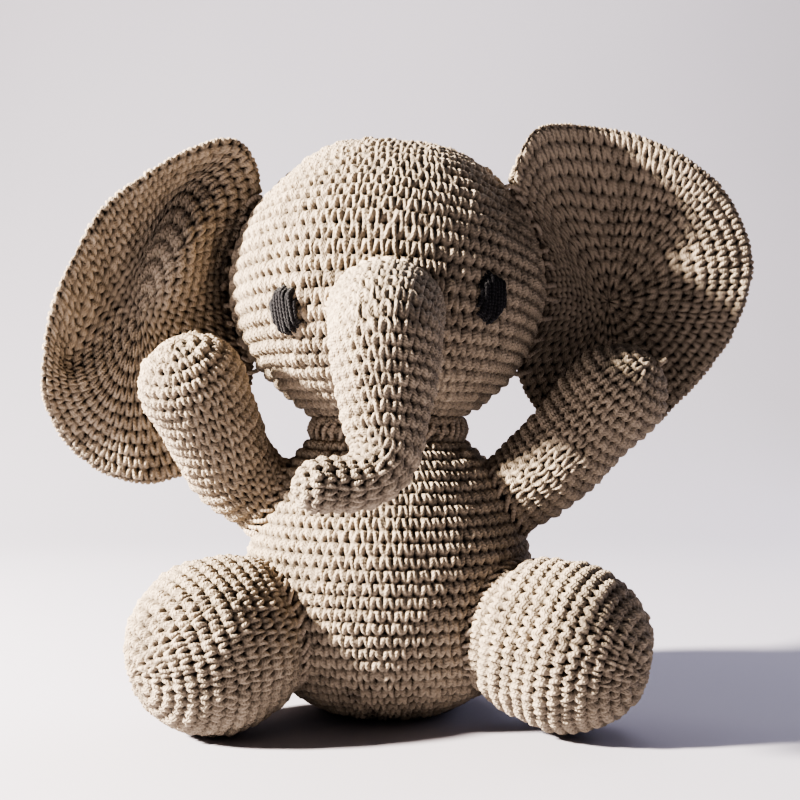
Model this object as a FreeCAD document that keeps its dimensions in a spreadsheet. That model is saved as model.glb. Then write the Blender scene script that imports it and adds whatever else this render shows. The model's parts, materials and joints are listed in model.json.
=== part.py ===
"""Sitting crocheted elephant: a stuffed toy built from sewn-together covers and their filling.

Frame: origin on the resting surface under the middle of the torso, +Z up, the face towards -Y,
+X to the right of someone facing the toy. Millimetres. "left" and "right" name the limbs by X:
left is -X, right is +X.
"""
import FreeCAD, Part
import Sketcher
import math
import os

Vector = FreeCAD.Vector
Rotation = FreeCAD.Rotation
Placement = FreeCAD.Placement

DRIVING_DIMENSIONS = [
    # fabric and clearances
    ("wall", 3.2),
    ("fill_gap", 0.2),
    ("sewn_gap", 0.7),
    ("yarn_radius", 1.1),
    # torso: an egg that stands on a flattened seat, open at the neck
    ("torso_radius", 58.0),
    ("waist_height", 48.0),
    ("torso_height", 106.5),
    ("seat_radius", 26.0),
    ("neck_radius", 32.0),
    # head: an ellipsoid, open underneath at the neck
    ("head_half_width", 63.0),
    ("head_half_depth", 58.0),
    ("head_half_height", 59.0),
    ("head_centre_height", 167.0),
    ("head_opening_height", 113.6),
    # trunk: round root, cosine taper down to a hooked round tip
    ("trunk_root_radius", 20.5),
    ("trunk_tip_radius", 9.0),
    ("trunk_drop", 44.5),
    ("trunk_lean", 17.0),
    ("trunk_hook_radius", 15.0),
    ("trunk_hook_turn", 82.0),
    ("trunk_hook_yaw", 20.0),
    ("trunk_tip_run", 9.0),
    ("trunk_seat_height", 155.0),
    ("trunk_opening", 12.0),
    # arms: tapered capsules with a ball root
    ("arm_root_radius", 13.5),
    ("arm_tip_radius", 20.0),
    ("arm_length", 43.0),
    ("arm_opening", 7.0),
    ("shoulder_height", 86.0),
    # legs: fat tapered capsules whose inner end follows the torso
    ("leg_root_radius", 27.0),
    ("leg_tip_radius", 32.0),
    ("leg_length", 20.0),
    ("leg_root_depth", 14.0),
    ("leg_floor_gap", 0.2),
    ("leg_lift", 16.0),
    ("leg_drop", 6.0),
    ("leg_clearance", 1.5),
    # ears: round sheets bent over a cylinder
    ("ear_thickness", 4.6),
    ("ear_bend_radius", 47.5),
    ("ear_bend_forward", 20.0),
    ("ear_seam_back", 8.0),
    ("ear_half_length", 63.0),
    ("ear_half_width", 45.0),
    ("ear_head_gap", 4.2),
    ("ear_seam_half_angle", 36.0),
    # sewing yarn
    ("neck_seam_inset", 3.0),
    ("seam_clearance", 0.4),
    ("trunk_seam_radius", 17.6),
    ("arm_seam_radius", 11.5),
    ("leg_seam_radius", 31.0),
    # embroidered eyes
    ("eye_half_width", 5.4),
    ("eye_half_height", 9.2),
    ("eye_bulge", 1.8),
]

# Where each limb and ear is sewn on, and where it points.
# azimuth: degrees around +Z from straight sideways towards the front.
ARMS = {
    "left": {"side": -1, "azimuth": 12.0, "direction": Vector(-0.284, -0.528, 0.800)},
    "right": {"side": 1, "azimuth": 9.0, "direction": Vector(0.620, -0.290, 0.727)},
}
LEGS = {
    "left": {"direction": Vector(-0.800, -0.560, -0.215), "tip": Vector(-63.4, -42.5, 0)},
    "right": {"direction": Vector(0.860, -0.460, -0.215), "tip": Vector(65.0, -41.0, 0)},
}
# tilt: lean of the ear's long axis from vertical, its top towards the head
EARS = {
    "left": {"side": -1, "centre": Vector(-93.5, 0, 161.5), "bend_x": -94.0, "tilt": 24.0},
    "right": {"side": 1, "centre": Vector(97.0, 0, 172.0), "bend_x": 97.0, "tilt": 4.0},
}
EYES = {
    "left": {"x": -36.7, "z": 154.5},
    "right": {"x": 37.8, "z": 159.0},
}

# depth of the blocks that trim an ear, in bend radii: anything deeper than the sheet will do
EAR_BLOCK_DEPTH = 3
# width and depth of the cylinder that opens the trunk's root, in root radii
TRUNK_MOUTH = 1.5

doc = FreeCAD.newDocument("CrochetedElephant")
sheet = doc.addObject("Spreadsheet::Sheet", "Dims")
for row, (alias, value) in enumerate(DRIVING_DIMENSIONS, start=1):
    sheet.set("A%d" % row, alias)
    sheet.set("B%d" % row, str(value))
    sheet.setAlias("B%d" % row, alias)
doc.recompute()


def size(alias):
    """Value of one driving dimension."""
    return float(sheet.get(alias))


def bind(obj, **expressions):
    """Tie properties of an object to the sheet."""
    for prop, expression in expressions.items():
        obj.setExpression(prop, expression)
    return obj


def along(direction, origin):
    """Placement that puts a local +Z axis along a direction."""
    return Placement(origin, Rotation(Vector(0, 0, 1), direction))


# ---------------------------------------------------------------- sketch helpers


def new_body(name):
    """An empty body and a sketch on its front plane: sketch x is X, sketch y is Z."""
    body = doc.addObject("PartDesign::Body", name)
    sketch = body.newObject("Sketcher::SketchObject", name + "_section")
    plane = [f for f in body.Origin.OriginFeatures if f.Role == "XZ_Plane"][0]
    sketch.AttachmentSupport = [(plane, "")]
    sketch.MapMode = "FlatFace"
    return body, sketch


def add_line(sketch, start, end):
    return sketch.addGeometry(Part.LineSegment(Vector(*start, 0), Vector(*end, 0)))


def add_arc(sketch, centre, radius, start_angle, end_angle):
    circle = Part.Circle(Vector(*centre, 0), Vector(0, 0, 1), radius)
    return sketch.addGeometry(Part.ArcOfCircle(circle, start_angle, end_angle))


def join(sketch, first, first_end, second, second_end):
    sketch.addConstraint(Sketcher.Constraint("Coincident", first, first_end, second, second_end))


def drive(sketch, kind, args, value, name, expression):
    """Add one dimension to a sketch and bind it to the sheet."""
    index = sketch.addConstraint(Sketcher.Constraint(kind, *args, value))
    sketch.renameConstraint(index, name)
    sketch.setExpression("Constraints." + name, expression)


def revolve(body, sketch):
    """Full turn of the sketch about the body's own upright axis."""
    doc.recompute()
    turn = body.newObject("PartDesign::Revolution", body.Name + "_turn")
    turn.Profile = sketch
    turn.ReferenceAxis = (sketch, ["V_Axis"])
    turn.Angle = 360
    body.Tip = turn
    return body


# ---------------------------------------------------------------- torso


def torso_arcs():
    """Centre x and radius of the lower and upper arcs of the torso's outline.

    Both centres are level with the waist, so the arcs meet there with an upright tangent.
    """
    wide, waist = size("torso_radius"), size("waist_height")
    rise = size("torso_height") - waist
    seat, neck = size("seat_radius"), size("neck_radius")
    low = (wide**2 - seat**2 - waist**2) / (2 * (wide - seat))
    high = (wide**2 - neck**2 - rise**2) / (2 * (wide - neck))
    return (low, wide - low), (high, wide - high)


def torso_point(height, azimuth, side):
    """Point of the torso's surface above the waist and its outward normal."""
    _, (centre, radius) = torso_arcs()
    lift = math.asin((height - size("waist_height")) / radius)
    reach = centre + radius * math.cos(lift)
    turn = math.radians(azimuth)
    flat = Vector(side * math.cos(turn), -math.sin(turn), 0)
    normal = flat * math.cos(lift) + Vector(0, 0, math.sin(lift))
    return flat * reach + Vector(0, 0, height), normal


def torso_outline(sketch, inset, tag, inset_expression):
    """Seat line and two arcs of the torso's section, moved inwards by inset."""
    (low, low_radius), (high, high_radius) = torso_arcs()
    waist, top = size("waist_height"), size("torso_height")
    low_radius, high_radius = low_radius - inset, high_radius - inset
    seat_angle = -math.asin((waist - inset) / low_radius)
    neck_angle = math.asin((top - waist) / high_radius)
    seat_end = (low + low_radius * math.cos(seat_angle), inset)
    floor = add_line(sketch, (0, inset), seat_end)
    lower = add_arc(sketch, (low, waist), low_radius, seat_angle, 0)
    upper = add_arc(sketch, (high, waist), high_radius, 0, neck_angle)
    join(sketch, floor, 2, lower, 1)
    join(sketch, lower, 2, upper, 1)
    sketch.addConstraint(Sketcher.Constraint("Horizontal", floor))
    sketch.addConstraint(Sketcher.Constraint("PointOnObject", floor, 1, -2))
    drive(sketch, "Radius", (lower,), low_radius, tag + "_low",
          "Dims.torso_radius - (Dims.torso_radius^2 - Dims.seat_radius^2 - Dims.waist_height^2)"
          " / (2 * (Dims.torso_radius - Dims.seat_radius)) - (" + inset_expression + ")")
    drive(sketch, "Radius", (upper,), high_radius, tag + "_high",
          "Dims.torso_radius - (Dims.torso_radius^2 - Dims.neck_radius^2"
          " - (Dims.torso_height - Dims.waist_height)^2)"
          " / (2 * (Dims.torso_radius - Dims.neck_radius)) - (" + inset_expression + ")")
    drive(sketch, "DistanceX", (-1, 1, lower, 2), size("torso_radius") - inset, tag + "_wide",
          "Dims.torso_radius - (" + inset_expression + ")")
    drive(sketch, "DistanceY", (-1, 1, lower, 2), waist, tag + "_waist", "Dims.waist_height")
    sketch.addConstraint(Sketcher.Constraint("Horizontal", lower, 3, lower, 2))
    sketch.addConstraint(Sketcher.Constraint("Horizontal", upper, 3, upper, 1))
    drive(sketch, "DistanceY", (-1, 1, upper, 2), top, tag + "_top", "Dims.torso_height")
    return floor, upper, (high + high_radius * math.cos(neck_angle), top)


def make_torso():
    body, sketch = new_body("torso_cover")
    floor, upper, outer_end = torso_outline(sketch, 0, "out", "0")
    sketch.addConstraint(Sketcher.Constraint("PointOnObject", floor, 1, -1))
    inner_floor, inner_upper, inner_end = torso_outline(sketch, size("wall"), "inn", "Dims.wall")
    drive(sketch, "DistanceY", (-1, 1, inner_floor, 1), size("wall"), "floor_wall", "Dims.wall")
    neck = add_line(sketch, outer_end, inner_end)
    axis = add_line(sketch, (0, 0), (0, size("wall")))
    join(sketch, neck, 1, upper, 2)
    join(sketch, neck, 2, inner_upper, 2)
    join(sketch, axis, 1, floor, 1)
    join(sketch, axis, 2, inner_floor, 1)
    cover = revolve(body, sketch)

    body, sketch = new_body("torso_stuffing")
    inset = size("wall") + size("fill_gap")
    inset_expression = "Dims.wall + Dims.fill_gap"
    floor, upper, end = torso_outline(sketch, inset, "fill", inset_expression)
    drive(sketch, "DistanceY", (-1, 1, floor, 1), inset, "floor_wall", inset_expression)
    top = add_line(sketch, end, (0, end[1]))
    axis = add_line(sketch, (0, end[1]), (0, inset))
    join(sketch, top, 1, upper, 2)
    join(sketch, top, 2, axis, 1)
    join(sketch, axis, 2, floor, 1)
    sketch.addConstraint(Sketcher.Constraint("Vertical", axis))
    sketch.addConstraint(Sketcher.Constraint("Horizontal", top))
    return [cover, revolve(body, sketch)]


# ---------------------------------------------------------------- head


def head_ellipsoid(name, grow_expression):
    """The head's egg shape, larger all round by an amount given as an expression."""
    shape = doc.addObject("Part::Ellipsoid", name)
    bind(shape,
         Radius1="Dims.head_half_height + (" + grow_expression + ")",
         Radius2="Dims.head_half_width + (" + grow_expression + ")",
         Radius3="Dims.head_half_depth + (" + grow_expression + ")")
    shape.Placement = Placement(Vector(0, 0, size("head_centre_height")), Rotation())
    return shape


def head_surface(x, z):
    """Point of the face at a given X and Z, and the outward normal there."""
    wide, deep, tall = size("head_half_width"), size("head_half_depth"), size("head_half_height")
    up = z - size("head_centre_height")
    y = -deep * math.sqrt(1 - (x / wide) ** 2 - (up / tall) ** 2)
    normal = Vector(x / wide**2, y / deep**2, up / tall**2)
    return Vector(x, y, z), normal.normalize()


def below(name, height_alias, reach=60.0):
    """Block that fills everything under a height, to cut an opening with."""
    block = doc.addObject("Part::Box", name)
    block.Length = block.Width = 2 * reach
    block.Height = reach
    block.Placement = Placement(Vector(-reach, -reach, size(height_alias) - reach), Rotation())
    return block


def cut(name, base, tool):
    result = doc.addObject("Part::Cut", name)
    result.Base, result.Tool = base, tool
    return result


def fuse(name, shapes):
    result = doc.addObject("Part::MultiFuse", name)
    result.Shapes = shapes
    result.Refine = False
    return result


def make_head():
    outer = head_ellipsoid("head_outer", "0")
    inner = head_ellipsoid("head_inner", "-Dims.wall")
    shell = cut("head_shell", outer, inner)
    cover = cut("head_cover", shell, below("under_head", "head_opening_height"))
    filling = head_ellipsoid("head_filling", "-Dims.wall - Dims.fill_gap")
    stuffing = cut("head_stuffing", filling, below("under_filling", "head_opening_height"))
    return [cover, stuffing]


# ---------------------------------------------------------------- trunk


def trunk_root():
    """Centre of the trunk's ball root, clear of the face by the sewn gap, and the face's normal."""
    face, normal = head_surface(0, size("trunk_seat_height"))
    return face + normal * (size("trunk_root_radius") + size("sewn_gap")), normal


def trunk_path(step_count=12):
    """Stations of the trunk's centreline: point, untwisted frame and share of the way to the tip."""
    point, _ = trunk_root()
    lean = math.radians(size("trunk_lean"))
    heading = Vector(0, -math.sin(lean), -math.cos(lean))
    yaw = math.radians(size("trunk_hook_yaw"))
    sideways = Vector(-math.cos(yaw), -math.sin(yaw), 0)
    sideways = (sideways - heading * sideways.dot(heading)).normalize()
    turn_axis = heading.cross(sideways).normalize()
    drop, bend = size("trunk_drop"), size("trunk_hook_radius")
    hook = bend * math.radians(size("trunk_hook_turn"))
    total = drop + hook + size("trunk_tip_run")
    centre = point + heading * drop + sideways * bend
    upright = Rotation(Vector(0, 0, 1), heading)
    stations = []
    for step in range(step_count + 1):
        run = total * step / step_count
        turned = min(max(run - drop, 0), hook) / bend
        spin = Rotation(turn_axis, math.degrees(turned))
        if run <= drop:
            place = point + heading * run
        else:
            past_hook = max(run - drop - hook, 0)
            place = centre - spin.multVec(sideways) * bend + spin.multVec(heading) * past_hook
        stations.append((place, spin * upright, step / step_count))
    return stations


def trunk_solid(name, inset, inset_expression):
    """Loft along the trunk's centreline with a ball at each end, moved inwards by inset."""
    stations = trunk_path()
    rings = []
    for index, (place, frame, share) in enumerate(stations):
        ring = doc.addObject("Part::Circle", "%s_ring%02d" % (name, index))
        taper = "(1 + cos(180 deg * %.6f)) / 2" % share
        bind(ring, Radius="Dims.trunk_tip_radius + (Dims.trunk_root_radius - Dims.trunk_tip_radius) * "
             + taper + " - (" + inset_expression + ")")
        ring.Placement = Placement(place, frame)
        rings.append(ring)
    loft = doc.addObject("Part::Loft", name + "_loft")
    loft.Sections = rings
    loft.Solid = True
    loft.Ruled = False
    balls = []
    for end, alias in ((0, "trunk_root_radius"), (-1, "trunk_tip_radius")):
        ball = doc.addObject("Part::Sphere", "%s_%s" % (name, alias[6:10]))
        bind(ball, Radius="Dims." + alias + " - (" + inset_expression + ")")
        ball.Placement = Placement(stations[end][0], Rotation())
        balls.append(ball)
    return fuse(name, [loft] + balls)


def make_trunk():
    root, normal = trunk_root()
    outer = trunk_solid("trunk_outer", 0, "0")
    inner = trunk_solid("trunk_inner", 0, "Dims.wall")
    filling = trunk_solid("trunk_filling", 0, "Dims.wall + Dims.fill_gap")
    nodes = []
    for name, base in (("trunk_cover", cut("trunk_shell", outer, inner)), ("trunk_stuffing", filling)):
        mouth = doc.addObject("Part::Cylinder", name + "_mouth")
        bind(mouth, Radius="Dims.trunk_root_radius * %g" % TRUNK_MOUTH,
             Height="Dims.trunk_root_radius * %g" % TRUNK_MOUTH)
        mouth.Placement = along(normal * -1, root - normal * size("trunk_opening"))
        nodes.append(cut(name, base, mouth))
    return nodes


# ---------------------------------------------------------------- arms and legs


def capsule_wall(sketch, root, tip, length, start_depth, tag, radii):
    """Side line and tip arc of a tapered capsule about the upright axis, ball root included.

    root and tip are radii; the root ball is at the sketch's origin. start_depth is how far
    below the origin the outline begins. radii holds the two expressions for the radii.
    """
    lean = math.asin((tip - root) / length)
    start_angle = -math.asin(start_depth / root)
    ball = add_arc(sketch, (0, 0), root, start_angle, -lean)
    side = add_line(sketch, (root * math.cos(lean), -root * math.sin(lean)),
                    (tip * math.cos(lean), length - tip * math.sin(lean)))
    cap = add_arc(sketch, (0, length), tip, -lean, math.pi / 2)
    join(sketch, ball, 3, -1, 1)
    sketch.addConstraint(Sketcher.Constraint("Tangent", ball, 2, side, 1))
    sketch.addConstraint(Sketcher.Constraint("Tangent", side, 2, cap, 1))
    sketch.addConstraint(Sketcher.Constraint("PointOnObject", cap, 3, -2))
    sketch.addConstraint(Sketcher.Constraint("PointOnObject", cap, 2, -2))
    drive(sketch, "Radius", (ball,), root, tag + "_root", radii[0])
    drive(sketch, "Radius", (cap,), tip, tag + "_tip", radii[1])
    return ball, cap, (root * math.cos(start_angle), -start_depth)


def make_arm(name, origin, direction):
    """Open-rooted arm cover and the filling inside it."""
    root, tip, length = size("arm_root_radius"), size("arm_tip_radius"), size("arm_length")
    depth, wall = size("arm_opening"), size("wall")
    outer_radii = ("Dims.arm_root_radius", "Dims.arm_tip_radius")
    inner_radii = [r + " - Dims.wall" for r in outer_radii]
    fill_radii = [r + " - Dims.fill_gap" for r in inner_radii]

    body, sketch = new_body(name + "_cover")
    ball, cap, start = capsule_wall(sketch, root, tip, length, depth, "out", outer_radii)
    in_ball, in_cap, in_start = capsule_wall(sketch, root - wall, tip - wall, length, depth, "inn",
                                             inner_radii)
    drive(sketch, "DistanceY", (-1, 1, cap, 3), length, "reach", "Dims.arm_length")
    sketch.addConstraint(Sketcher.Constraint("Horizontal", cap, 3, in_cap, 3))
    end = add_line(sketch, (0, length + tip), (0, length + tip - wall))
    mouth = add_line(sketch, in_start, start)
    join(sketch, end, 1, cap, 2)
    join(sketch, end, 2, in_cap, 2)
    join(sketch, mouth, 1, in_ball, 1)
    join(sketch, mouth, 2, ball, 1)
    sketch.addConstraint(Sketcher.Constraint("Horizontal", mouth))
    drive(sketch, "DistanceY", (mouth, 2, -1, 1), depth, "mouth", "Dims.arm_opening")
    cover = revolve(body, sketch)
    cover.Placement = along(direction, origin)

    body, sketch = new_body(name + "_stuffing")
    inset = wall + size("fill_gap")
    ball, cap, start = capsule_wall(sketch, root - inset, tip - inset, length, depth, "fill", fill_radii)
    drive(sketch, "DistanceY", (-1, 1, cap, 3), length, "reach", "Dims.arm_length")
    mouth = add_line(sketch, (0, -depth), start)
    axis = add_line(sketch, (0, length + tip - inset), (0, -depth))
    join(sketch, axis, 1, cap, 2)
    join(sketch, axis, 2, mouth, 1)
    join(sketch, mouth, 2, ball, 1)
    sketch.addConstraint(Sketcher.Constraint("Horizontal", mouth))
    sketch.addConstraint(Sketcher.Constraint("Vertical", axis))
    drive(sketch, "DistanceY", (mouth, 2, -1, 1), depth, "mouth", "Dims.arm_opening")
    filling = revolve(body, sketch)
    filling.Placement = along(direction, origin)
    return [cover, filling]


def make_arms():
    nodes = []
    for side_name, arm in ARMS.items():
        foot, normal = torso_point(size("shoulder_height"), arm["azimuth"], arm["side"])
        origin = foot + normal * (size("arm_root_radius") + size("sewn_gap"))
        nodes += make_arm(side_name + "_arm", origin, arm["direction"])
    return nodes


def leg_wall(sketch, root, tip, length, depth, tag, radii):
    """Side line and tip arc of a leg's section; the line starts depth below the origin."""
    lean = math.asin((tip - root) / (length + depth))
    cap = add_arc(sketch, (0, length), tip, -lean, math.pi / 2)
    touch = (tip * math.cos(lean), length - tip * math.sin(lean))
    start = (touch[0] - math.tan(lean) * (touch[1] + depth), -depth)
    side = add_line(sketch, start, touch)
    sketch.addConstraint(Sketcher.Constraint("Tangent", side, 2, cap, 1))
    sketch.addConstraint(Sketcher.Constraint("PointOnObject", cap, 3, -2))
    sketch.addConstraint(Sketcher.Constraint("PointOnObject", cap, 2, -2))
    drive(sketch, "Radius", (cap,), tip, tag + "_tip", radii[1])
    drive(sketch, "DistanceY", (side, 1, -1, 1), depth, tag + "_depth", "Dims.leg_root_depth")
    drive(sketch, "DistanceX", (-1, 1, side, 1), start[0], tag + "_start", radii[0])
    return side, cap, start


def make_leg(name, origin, direction, torso_tool):
    """Leg cover and filling: capsules trimmed where the torso comes close in any pose."""
    tip, length = size("leg_tip_radius"), size("leg_length")
    root, depth, wall = size("leg_root_radius"), size("leg_root_depth"), size("wall")
    outer_radii = ("Dims.leg_root_radius", "Dims.leg_tip_radius")
    inner_radii = [r + " - Dims.wall" for r in outer_radii]
    fill_radii = [r + " - Dims.fill_gap" for r in inner_radii]

    body, sketch = new_body(name + "_shell")
    side, cap, start = leg_wall(sketch, root, tip, length, depth, "out", outer_radii)
    in_side, in_cap, in_start = leg_wall(sketch, root - wall, tip - wall, length, depth, "inn",
                                         inner_radii)
    drive(sketch, "DistanceY", (-1, 1, cap, 3), length, "reach", "Dims.leg_length")
    sketch.addConstraint(Sketcher.Constraint("Horizontal", cap, 3, in_cap, 3))
    end = add_line(sketch, (0, length + tip), (0, length + tip - wall))
    mouth = add_line(sketch, in_start, start)
    join(sketch, end, 1, cap, 2)
    join(sketch, end, 2, in_cap, 2)
    join(sketch, mouth, 1, in_side, 1)
    join(sketch, mouth, 2, side, 1)
    shell = revolve(body, sketch)
    shell.Placement = along(direction, origin)

    body, sketch = new_body(name + "_filling")
    inset = wall + size("fill_gap")
    side, cap, start = leg_wall(sketch, root - inset, tip - inset, length, depth, "fill", fill_radii)
    drive(sketch, "DistanceY", (-1, 1, cap, 3), length, "reach", "Dims.leg_length")
    mouth = add_line(sketch, (0, -depth), start)
    axis = add_line(sketch, (0, length + tip - inset), (0, -depth))
    join(sketch, axis, 1, cap, 2)
    join(sketch, axis, 2, mouth, 1)
    join(sketch, mouth, 2, side, 1)
    sketch.addConstraint(Sketcher.Constraint("Vertical", axis))
    sketch.addConstraint(Sketcher.Constraint("Horizontal", mouth))
    filling = revolve(body, sketch)
    filling.Placement = along(direction, origin)
    return [cut(name + "_cover", shell, torso_tool), cut(name + "_stuffing", filling, torso_tool)]


def leg_axis(leg):
    """Direction of a leg from its hip outwards, and the hip point."""
    direction = Vector(leg["direction"]).normalize()
    tip = leg["tip"] + Vector(0, 0, size("leg_tip_radius") + size("leg_floor_gap"))
    return direction, tip - direction * size("leg_length")


def make_legs():
    nodes = []
    middle = Vector(0, 0, size("waist_height"))
    for side_name, leg in LEGS.items():
        direction, hip = leg_axis(leg)
        hinge = direction.cross(Vector(0, 0, 1)).normalize()
        keep_out = []
        for index, angle in enumerate((-size("leg_lift"), -size("leg_lift") / 2, 0, size("leg_drop"))):
            ball = doc.addObject("Part::Sphere", "%s_hip_clear%d" % (side_name, index))
            bind(ball, Radius="Dims.torso_radius + Dims.leg_clearance")
            moved = Rotation(hinge, angle).multVec(middle - hip) + hip
            ball.Placement = Placement(moved, Rotation())
            keep_out.append(ball)
        tool = fuse(side_name + "_hip_clear", keep_out)
        nodes += make_leg(side_name + "_leg", hip, direction, tool)
    return nodes


# ---------------------------------------------------------------- ears


def make_ear(side_name, ear):
    """Sheet between two coaxial cylinders, trimmed to an oval and kept off the head."""
    tilt = Rotation(Vector(0, 1, 0), -ear["side"] * ear["tilt"])
    long_axis = tilt.multVec(Vector(0, 0, 1))
    reach = 2 * size("ear_half_length")
    bend_line = Vector(ear["bend_x"], -size("ear_bend_forward"), ear["centre"].z)
    tubes = []
    for sign, half in (("outer", "+ Dims.ear_thickness / 2"), ("inner", "- Dims.ear_thickness / 2")):
        tube = doc.addObject("Part::Cylinder", "%s_ear_%s" % (side_name, sign))
        bind(tube, Radius="Dims.ear_bend_radius " + half, Height="4 * Dims.ear_half_length")
        tube.Placement = Placement(bend_line - long_axis * reach, tilt)
        tubes.append(tube)
    sheet_tube = cut(side_name + "_ear_tube", *tubes)

    oval = doc.addObject("PartDesign::Body", side_name + "_ear_oval")
    sketch = oval.newObject("Sketcher::SketchObject", side_name + "_ear_outline")
    plane = [f for f in oval.Origin.OriginFeatures if f.Role == "XZ_Plane"][0]
    sketch.AttachmentSupport = [(plane, "")]
    sketch.MapMode = "FlatFace"
    long_half, short_half = size("ear_half_length"), size("ear_half_width")
    outline = sketch.addGeometry(Part.Ellipse(Vector(0, long_half, 0), Vector(short_half, 0, 0),
                                              Vector(0, 0, 0)))
    sketch.exposeInternalGeometry(outline)
    join(sketch, outline, 3, -1, 1)
    sketch.addConstraint(Sketcher.Constraint("Vertical", outline + 1))
    drive(sketch, "Distance", (outline + 1,), 2 * long_half, "long_axis", "2 * Dims.ear_half_length")
    drive(sketch, "Distance", (outline + 2,), 2 * short_half, "short_axis", "2 * Dims.ear_half_width")
    doc.recompute()
    pad = oval.newObject("PartDesign::Pad", side_name + "_ear_block")
    pad.Profile = sketch
    pad.setExpression("Length", "%d * Dims.ear_bend_radius" % EAR_BLOCK_DEPTH)
    pad.Midplane = True
    oval.Tip = pad
    oval.Placement = Placement(ear["centre"], tilt)

    sheet_part = doc.addObject("Part::Common", side_name + "_ear_sheet")
    sheet_part.Base, sheet_part.Tool = sheet_tube, oval
    front = doc.addObject("Part::Box", side_name + "_ear_front")
    front.Length = front.Height = 2 * reach
    bind(front, Width="%d * Dims.ear_bend_radius" % EAR_BLOCK_DEPTH)
    corner = bend_line - Vector(reach, EAR_BLOCK_DEPTH * size("ear_bend_radius"), reach)
    front.Placement = Placement(corner, Rotation())
    half_sheet = cut(side_name + "_ear_back", sheet_part, front)
    keep_out = head_ellipsoid(side_name + "_ear_clear", "Dims.ear_head_gap")
    return cut(side_name + "_ear", half_sheet, keep_out)


def make_ears():
    return [make_ear(side_name, ear) for side_name, ear in EARS.items()]


# ---------------------------------------------------------------- eyes


def make_eyes():
    """Flat ovals of satin stitch that lie on the face."""
    nodes = []
    for side_name, eye in EYES.items():
        point, normal = head_surface(eye["x"], eye["z"])
        pad = doc.addObject("Part::Ellipsoid", side_name + "_eye_pad")
        bind(pad, Radius1="Dims.eye_bulge", Radius2="Dims.eye_half_width", Radius3="Dims.eye_half_height")
        upright = (Vector(0, 0, 1) - normal * normal.z).normalize()
        across = upright.cross(normal)
        pad.Placement = Placement(point, Rotation(across, upright, normal, "ZXY"))
        skin = head_ellipsoid(side_name + "_eye_skin", "0")
        nodes.append(cut(side_name + "_eye", pad, skin))
    return nodes


# ---------------------------------------------------------------- sewing yarn


def yarn_ring(name, foot, normal, flattest_radius, ring_alias):
    """Closed ring of sewing yarn that lies on a rounded surface without touching it.

    foot is the point of the surface inside the ring and normal its outward normal.
    flattest_radius is the surface's largest radius of curvature there.
    """
    reach = size(ring_alias)
    sink = flattest_radius - math.sqrt(flattest_radius**2 - reach**2)
    height = size("yarn_radius") + size("seam_clearance") - sink
    ring = doc.addObject("Part::Torus", name)
    bind(ring, Radius1="Dims." + ring_alias, Radius2="Dims.yarn_radius")
    ring.Placement = along(normal, foot + normal * height)
    return ring


def make_neck_seam():
    """Flat ring of yarn just above the torso's open end."""
    ring = doc.addObject("Part::Torus", "neck_seam_yarn")
    bind(ring, Radius1="Dims.neck_radius - Dims.neck_seam_inset", Radius2="Dims.yarn_radius")
    height = size("torso_height") + size("yarn_radius") + size("seam_clearance")
    ring.Placement = Placement(Vector(0, 0, height), Rotation())
    return ring


def make_ear_seam(side_name, side):
    """Arc of yarn that follows the side of the head behind its middle."""
    wide, tall, back = size("head_half_width"), size("head_half_height"), size("ear_seam_back")
    narrowed = math.sqrt(1 - (back / size("head_half_depth")) ** 2)
    wide, tall = wide * narrowed, tall * narrowed
    bow = tall**2 / wide
    arc = doc.addObject("Part::Torus", side_name + "_ear_seam_yarn")
    arc.Radius1 = bow + size("yarn_radius") + size("seam_clearance")
    bind(arc, Radius2="Dims.yarn_radius", Angle3="2 * Dims.ear_seam_half_angle")
    middle_angle = 0 if side > 0 else 180
    first_angle = middle_angle - size("ear_seam_half_angle")
    spin = Rotation(Vector(1, 0, 0), 90) * Rotation(Vector(0, 0, 1), first_angle)
    arc.Placement = Placement(Vector(side * (wide - bow), back, size("head_centre_height")), spin)
    return arc


def make_seams():
    """Yarn that sews each piece on: rings on the torso and face, and an arc beside each ear."""
    root, normal = trunk_root()
    face = root - normal * (size("trunk_root_radius") + size("sewn_gap"))
    head_flattest = size("head_half_width") ** 2 / size("head_half_depth")
    nodes = [make_neck_seam(),
             yarn_ring("trunk_seam_yarn", face, normal, head_flattest, "trunk_seam_radius")]
    _, (_, torso_flattest) = torso_arcs()
    for side_name, arm in ARMS.items():
        foot, normal = torso_point(size("shoulder_height"), arm["azimuth"], arm["side"])
        nodes.append(yarn_ring(side_name + "_arm_seam_yarn", foot, normal, torso_flattest,
                               "arm_seam_radius"))
    middle = Vector(0, 0, size("waist_height"))
    for side_name, leg in LEGS.items():
        _, hip = leg_axis(leg)
        normal = (hip - middle).normalize()
        nodes.append(yarn_ring(side_name + "_leg_seam_yarn", middle + normal * size("torso_radius"),
                               normal, torso_flattest, "leg_seam_radius"))
    for side_name, ear in EARS.items():
        nodes.append(make_ear_seam(side_name, ear["side"]))
    return nodes


# ---------------------------------------------------------------- build, check, write

nodes = make_torso() + make_head() + make_trunk() + make_arms() + make_legs()
nodes += make_ears() + make_eyes() + make_seams()
doc.recompute()

for obj in doc.Objects:
    if "Invalid" in obj.State or "Error" in obj.State:
        raise RuntimeError("%s did not compute: %s" % (obj.Label, obj.State))

os.makedirs("parts", exist_ok=True)
for node in nodes:
    if node.Shape.isNull() or not node.Shape.isValid():
        raise RuntimeError(node.Label + " has no valid shape")
for node in nodes:
    box = node.Shape.BoundBox
    print("%-20s %9.0f mm3 %d solid  x %6.1f %6.1f  y %6.1f %6.1f  z %6.1f %6.1f" % (
        node.Label, node.Shape.Volume, len(node.Shape.Solids),
        box.XMin, box.XMax, box.YMin, box.YMax, box.ZMin, box.ZMax))
    node.Shape.exportStep("parts/%s.step" % node.Label)
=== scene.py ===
"""Crocheted elephant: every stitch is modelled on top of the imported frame, in metres."""
import json
import math

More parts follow.
